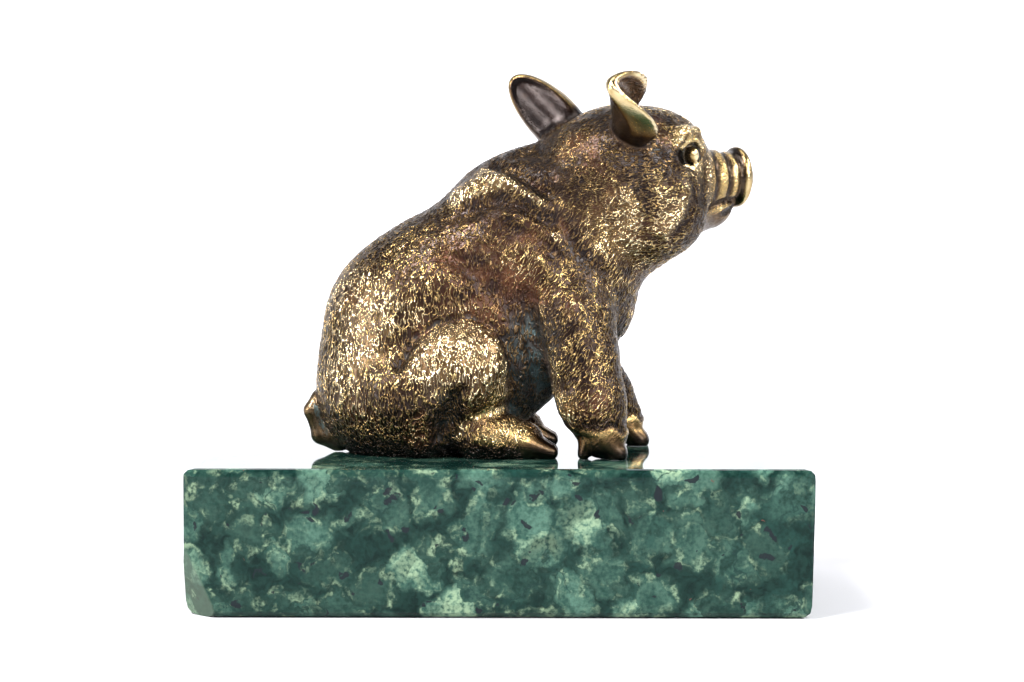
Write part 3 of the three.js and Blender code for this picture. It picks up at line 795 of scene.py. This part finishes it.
# How far each place is rubbed back: by how proud it is, how worn or lightened with painted
# light, how hollow and how darkened with painted shade, and by a slow cloud. Its tone then runs
# from the patina in a pit to bare gold on a ridge.
RUBBED_BY = (("wear_and_painted_light", 0.7), ("hollow", -1.2), ("painted_shade", -0.9))
PROUD_SHARE = 0.9
CLOUD_SHARE = 0.9
fine = noise_of(5.0, 4.0)
cloud = noise_of(0.13, 3.0)
patch = noise_of(0.4, 4.0)
rubbed = calc(tree, "ADD", calc(tree, "MULTIPLY", skin_value("proud"), PROUD_SHARE),
              calc(tree, "MULTIPLY", cloud, CLOUD_SHARE))
for name, share in RUBBED_BY:
    rubbed = calc(tree, "ADD", rubbed, calc(tree, "MULTIPLY", skin_value(name), share))
rubbed = step_between(tree, rubbed, 0.15, 1.05)
ridge = step_between(tree, stroke, 0.2, 0.9)
inside = skin_value("inside")
RIDGE_TONES = (0.46, 0.74)
SMOOTH_TONE = 0.38
RUBBED_SMOOTH = 0.5
RUBBED_COAT = 0.4
PATCHINESS = 0.5
tone = calc(tree, "MULTIPLY", ridge, step_between(tree, rubbed, 0.0, 1.0, *RIDGE_TONES))
tone = calc(tree, "ADD", calc(tree, "MULTIPLY", tone, furry),
            calc(tree, "MULTIPLY", smoothness, SMOOTH_TONE))
rubbing = step_between(tree, furry, 0.0, 1.0, RUBBED_SMOOTH, RUBBED_COAT)
tone = calc(tree, "ADD", tone, calc(tree, "MULTIPLY", rubbed, rubbing))
# Darker where the skin marks it: the ears' patina, with painted shade on the far ear.
tone = calc(tree, "SUBTRACT", tone, skin_value("dark"))
tone = calc(tree, "ADD", tone,
            calc(tree, "MULTIPLY", calc(tree, "SUBTRACT", patch, 0.5), PATCHINESS))
tones = wire(tree, "ShaderNodeValToRGB", {"Fac": tone})
TONES = (
    (0.0, (0.010, 0.006, 0.005)), (0.22, (0.034, 0.018, 0.010)), (0.48, (0.136, 0.080, 0.030)),
    (0.75, (0.40, 0.282, 0.108)), (1.0, (0.90, 0.74, 0.45)),
)
for _ in TONES[2:]:
    tones.color_ramp.elements.new(0.5)
for element, (at, shade) in zip(tones.color_ramp.elements, TONES):
    element.position = at
    element.color = (*shade, 1)
bare = tones.outputs["Color"]
redness = calc(tree, "MULTIPLY", step_between(tree, cloud, 0.53, 0.70), 0.4)
on_flank = step_between(tree, patch, 0.35, 0.6, 0.1, 0.5)
redness = calc(tree, "ADD", redness, calc(tree, "MULTIPLY", skin_value("ruddy"), on_flank))
RED_BROWN = (0.105, 0.038, 0.017)
SHADE_BLACK = (0.012, 0.009, 0.008)
EAR_PITS = (0.085, 0.042, 0.016)
SLATE = (0.020, 0.036, 0.040)
VERDIGRIS = (0.065, 0.115, 0.115)
bare = mix(calc(tree, "MULTIPLY", redness, furry), bare, RED_BROWN)
# Painted shade: a near-black colour laid over the bottom, the creases, the jaw, the socket, the
# mouth and the nostrils.
bare = mix(calc(tree, "MULTIPLY", skin_value("painted_shade"), 0.85), bare, SHADE_BLACK)
bare = mix(calc(tree, "MULTIPLY", inside, calc(tree, "SUBTRACT", 1.0, ridge)), bare, EAR_PITS)
green_here = calc(tree, "ADD", skin_value("hollow"), calc(tree, "MULTIPLY", patch, 0.45))
green_here = step_between(tree, green_here, 0.74, 1.04)
kept_green = calc(tree, "SUBTRACT", 1.0, skin_value("cleaner"))
green_here = calc(tree, "MULTIPLY", green_here, kept_green)
green_here = calc(tree, "ADD", green_here, calc(tree, "MULTIPLY", skin_value("green"), patch))
in_pits = step_between(tree, stroke, 0.1, 0.6, 0.9, 0.3)
green_here = calc(tree, "MULTIPLY", green_here, in_pits)
off_bare = step_between(tree, skin_value("bare"), 0.0, 1.0, 1.0, 0.0)
green_here = calc(tree, "MULTIPLY", green_here, off_bare)
green_here = calc(tree, "MINIMUM", green_here, 0.8)
colour = mix(green_here, bare, mix(patch, SLATE, VERDIGRIS))
tree.links.new(colour, metal.inputs["Base Color"])
metallic = calc(tree, "SUBTRACT", 1.0, calc(tree, "MULTIPLY", green_here, 0.7))
tree.links.new(metallic, metal.inputs["Metallic"])
DARK_ROUGHNESS = 0.34
GOLD_ROUGHNESS = 0.19
LEAST_ROUGHNESS = 0.14
rough = step_between(tree, tone, 0.0, 1.0, DARK_ROUGHNESS, GOLD_ROUGHNESS)
uneven = calc(tree, "MULTIPLY", calc(tree, "SUBTRACT", fine, 0.5), 0.2)
rough = calc(tree, "ADD", rough, uneven)
rough = calc(tree, "ADD", rough, calc(tree, "MULTIPLY", green_here, 0.3))
rough = calc(tree, "SUBTRACT", rough, calc(tree, "MULTIPLY", smoothness, 0.1))
tree.links.new(calc(tree, "MAXIMUM", rough, LEAST_ROUGHNESS), metal.inputs["Roughness"])
coat_bump = calc(tree, "MULTIPLY", stroke, calc(tree, "MAXIMUM", furry, inside))
BUMP_HEIGHT = 0.00045
FINE_GRAIN = 0.10
grain = calc(tree, "MULTIPLY", fine, FINE_GRAIN)
bump = wire(tree, "ShaderNodeBump", {
    "Strength": 1.0, "Distance": BUMP_HEIGHT, "Height": calc(tree, "ADD", coat_bump, grain),
})
tree.links.new(bump.outputs[0], metal.inputs["Normal"])
tree.links.new(bump.outputs[0], metal.inputs["Coat Normal"])
piglet.data.materials.append(bronze)

# Plinth
# A block of polished green serpentine, sawn square and ground back along its edges, with its
# lower front left corner broken away. The piglet stands on it.
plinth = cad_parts["plinth"]
stone = bpy.data.materials.new("green_stone")
stone.use_nodes = True
tree = stone.node_tree
tree.nodes.clear()
out = wire(tree, "ShaderNodeOutputMaterial")
POLISHED = 0.05
BROKEN = 0.22
rock = wire(tree, "ShaderNodeBsdfPrincipled", {
    "Roughness": POLISHED, "IOR": 1.56, "Specular IOR Level": 0.09,
})
tree.links.new(rock.outputs[0], out.inputs[0])
STONE_STIR = 7.5
place = wire(tree, "ShaderNodeTexCoord").outputs["Object"]
place = wire(tree, "ShaderNodeVectorMath", {0: place, "Scale": float(MILLIMETRES)},
             operation="SCALE").outputs[0]
stir = wire(tree, "ShaderNodeTexNoise", {"Vector": place, "Scale": 0.25, "Detail": 5.0})
stir = wire(tree, "ShaderNodeVectorMath", {0: stir.outputs["Color"], 1: (0.5, 0.5, 0.5)},
            operation="SUBTRACT")
stir = wire(tree, "ShaderNodeVectorMath", {0: stir.outputs[0], "Scale": STONE_STIR},
            operation="SCALE")
stirred = wire(tree, "ShaderNodeVectorMath", {0: place, 1: stir.outputs[0]}, operation="ADD")
stirred = stirred.outputs[0]
axis = wire(tree, "ShaderNodeSeparateXYZ", {"Vector": place}).outputs


def cloudy(scale, detail=4.0, at=None):
    """An even-grained noise, with so many lumps to the millimetre."""
    return wire(tree, "ShaderNodeTexNoise", {
        "Vector": stirred if at is None else at, "Scale": scale, "Detail": detail,
    }).outputs[0]


def lumps_of(scale, at=None):
    """Scattered points: how far the nearest is, and two numbers of its own."""
    cells = wire(tree, "ShaderNodeTexVoronoi", {
        "Vector": stirred if at is None else at, "Scale": scale, "Randomness": 1.0,
    })
    own = wire(tree, "ShaderNodeSeparateColor", {"Color": cells.outputs["Color"]})
    return cells.outputs["Distance"], own.outputs[0], own.outputs[1]


def times(*values):
    """Several numbers or sockets multiplied together."""
    total = values[0]
    for value in values[1:]:
        total = calc(tree, "MULTIPLY", total, value)
    return total


# Rounded clasts, lighter than the dark ground between them, with a pale rim here and there and
# a few that are cream all through.
CLASTS = 0.145
DEEP_GREEN = (0.0018, 0.009, 0.0075)
DARK_GREEN = (0.006, 0.022, 0.0175)
CLAST_SHADE = (0.014, 0.045, 0.035)
CLAST_LIGHT = (0.074, 0.152, 0.112)
CREAM = (0.21, 0.29, 0.18)
mottle = cloudy(0.35, 6.0)
speckle = cloudy(1.5, 4.0, place)
reach, kind, _ = lumps_of(CLASTS)
ragged = calc(tree, "ADD", reach, times(mottle, 0.5))
clast = step_between(tree, ragged, 0.98, 0.66)
clast = times(clast, step_between(tree, kind, 0.1, 0.9, 0.25, 1.0))
clast = times(clast, step_between(tree, axis[0], -45.0, 25.0, 0.72, 1.0))
grains = calc(tree, "ADD", times(speckle, 0.45), times(mottle, 0.55))
grains = step_between(tree, grains, 0.33, 0.66)
matrix = mix(step_between(tree, cloudy(0.9, 5.0), 0.3, 0.7), DEEP_GREEN, DARK_GREEN)
green = mix(clast, matrix, mix(grains, CLAST_SHADE, CLAST_LIGHT))
edge = times(step_between(tree, reach, 0.30, 0.50), step_between(tree, reach, 0.66, 0.52))
pale = times(edge, step_between(tree, cloudy(0.5), 0.48, 0.72))
pale = times(pale, step_between(tree, speckle, 0.3, 0.6))
cream = times(step_between(tree, kind, 0.80, 0.86), step_between(tree, reach, 0.52, 0.30))
cream = times(cream, step_between(tree, speckle, 0.30, 0.62))
pale = calc(tree, "MAXIMUM", pale, cream)
green = mix(times(pale, 0.75), green, CREAM)

# Dark bands that lean to the right, stronger towards the right, and thin dark cracks.
BAND_LEAN = math.radians(-30)
BAND_DEEP = (0.0022, 0.010, 0.008)
BAND_LIGHT = (0.0100, 0.036, 0.029)
CRACK = (0.006, 0.020, 0.018)
leaning = wire(tree, "ShaderNodeVectorRotate", {"Vector": stirred, "Rotation": (0, BAND_LEAN, 0)},
               rotation_type="EULER_XYZ").outputs[0]
leaning = wire(tree, "ShaderNodeVectorMath", {0: leaning, 1: (0.30, 0.12, 0.045)},
               operation="MULTIPLY").outputs[0]
bands = step_between(tree, cloudy(1.0, 2.0, leaning), 0.52, 0.62)
bands = times(bands, step_between(tree, axis[0], -30.0, 20.0, 0.3, 0.75))
green = mix(bands, green, mix(grains, BAND_DEEP, BAND_LIGHT))
cracks = wire(tree, "ShaderNodeTexVoronoi", {
    "Vector": stirred, "Scale": 0.085, "Randomness": 1.0,
}, feature="DISTANCE_TO_EDGE").outputs["Distance"]
cracked = step_between(tree, cloudy(0.12), 0.48, 0.6)
cracks = times(step_between(tree, cracks, 0.022, 0.004), cracked)
green = mix(times(cracks, 0.75), green, CRACK)

# Black specks, round ones and ones drawn out along the bands, and a few rusty dots.
BLACK = (0.008, 0.011, 0.014)
RUST = (0.085, 0.035, 0.026)
longer = wire(tree, "ShaderNodeVectorMath", {0: leaning, 1: (3.6, 6.0, 11.0)},
              operation="MULTIPLY").outputs[0]
for lie, scale, radius, least in ((stirred, 0.30, 0.22, 0.3), (longer, 0.26, 0.17, 0.5)):
    near, own, size = lumps_of(scale, lie)
    past_edge = calc(tree, "SUBTRACT", near, times(size, radius))
    speck = step_between(tree, past_edge, 0.035, 0.0)
    speck = times(speck, calc(tree, "GREATER_THAN", own, least))
    green = mix(times(speck, 0.92), green, BLACK)
near, own, _ = lumps_of(0.33)
rust = times(step_between(tree, near, 0.09, 0.05), calc(tree, "GREATER_THAN", own, 0.9))
green = mix(times(rust, 0.7), green, RUST)

# The broken corner: paler and rougher beyond a plane that cuts its three edges, which is given
# by its distance along each edge from the corner, in millimetres.
CORNER_CUTS = ((axis[0], 50.0, 5.5), (axis[1], 30.0, 6.0), (axis[2], 0.0, 12.0))
CORNER_PALE = (0.12, 0.16, 0.11)
broken = 0.0
for along_axis, corner, cut in CORNER_CUTS:
    part_way = calc(tree, "DIVIDE", calc(tree, "ADD", along_axis, corner), cut)
    broken = calc(tree, "ADD", broken, part_way)
broken = step_between(tree, broken, 1.08, 1.0)
green = mix(times(broken, 0.3), green, CORNER_PALE)
tree.links.new(green, rock.inputs["Base Color"])
tree.links.new(step_between(tree, broken, 0.0, 1.0, POLISHED, BROKEN), rock.inputs["Roughness"])
plinth.data.materials.clear()
plinth.data.materials.append(stone)

# Stage
# A plain pale floor that rises into a round pale wall, four soft lamps in front and at the
# sides, one to the right of the block, and a wide one that lights the wall behind.
FLOOR_REACH = 0.8
WALL_REACH = 1.3
WALL_HEIGHT = 1.6
INNER_RING = 0.2
PAPER = (0.52, 0.52, 0.54, 1)
sweep = np.linspace(0, math.pi / 2, 13)
bend = WALL_REACH - FLOOR_REACH
out_from = np.concatenate([[0.0, INNER_RING], FLOOR_REACH + bend * np.sin(sweep), [WALL_REACH]])
up_from = np.concatenate([[0.0, 0.0], bend - bend * np.cos(sweep), [WALL_HEIGHT]])
around = np.linspace(0, 2 * math.pi, 65)[:-1]
wall = np.stack([
    np.outer(out_from, np.cos(around)), np.outer(out_from, np.sin(around)),
    np.repeat(up_from[:, None], len(around), 1),
], -1)
cell = np.arange(wall.shape[0] * wall.shape[1]).reshape(wall.shape[:2])
beside = np.roll(cell, -1, 1)
ring = np.stack([cell[:-1], beside[:-1], beside[1:], cell[1:]], -1).reshape(-1, 4)
floor = mesh_object("floor", wall.reshape(-1, 3), ring)
paper = bpy.data.materials.new("floor_paper")
paper.use_nodes = True
coating = paper.node_tree.nodes["Principled BSDF"]
coating.inputs["Base Color"].default_value = PAPER
coating.inputs["Roughness"].default_value = 0.9
floor.data.materials.append(paper)
floor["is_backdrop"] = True


def lamp(name, at, towards, size, power, spread=180):
    """A square soft lamp at a place, facing another."""
    light = bpy.data.lights.new(name, "AREA")
    light.shape = "SQUARE"
    light.size = size
    light.energy = power
    light.spread = math.radians(spread)
    obj = bpy.data.objects.new(name, light)
    obj.location = at
    obj.rotation_euler = (Vector(towards) - Vector(at)).to_track_quat("-Z", "Y").to_euler()
    scene.collection.objects.link(obj)


MIDDLE = (0, 0, 0.05)
lamp("key", (-0.35, -0.4, 0.7), MIDDLE, 0.22, 13)
lamp("front", (0.2, -0.75, 0.5), MIDDLE, 0.22, 5)
lamp("left", (-0.65, -0.35, 0.25), MIDDLE, 0.18, 5)
lamp("right", (0.55, -0.5, 0.25), MIDDLE, 0.16, 2.6)
lamp("side", (0.55, -0.05, 0.45), MIDDLE, 0.2, 4)
lamp("back", (0.0, 0.45, 1.2), (0, 1.0, 0.3), 1.0, 17, spread=100)
world = bpy.data.worlds.new("studio")
scene.world = world
world.use_nodes = True
world.node_tree.nodes["Background"].inputs["Color"].default_value = (0.93, 0.94, 1.0, 1)
world.node_tree.nodes["Background"].inputs["Strength"].default_value = 0.12

# Camera
# A long lens level with the piglet's eye and a little to the right of the block's middle,
# looking slightly down and to the left.
CAMERA_AT = (0.0093, -0.530, 0.0742)
CAMERA_DOWN = 3.46
CAMERA_LEFT = 0.83
camera_data = bpy.data.cameras.new("camera")
camera_data.sensor_width = 36
camera_data.lens = 112.25
camera = bpy.data.objects.new("camera", camera_data)
camera.location = CAMERA_AT
camera.rotation_euler = (math.radians(90 - CAMERA_DOWN), 0, math.radians(CAMERA_LEFT))
scene.collection.objects.link(camera)
scene.camera = camera
scene.view_settings.view_transform = "Standard"

bounds_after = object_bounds()
[[list(map(float, c)) for c in b] for b in (bounds_before, bounds_after)]
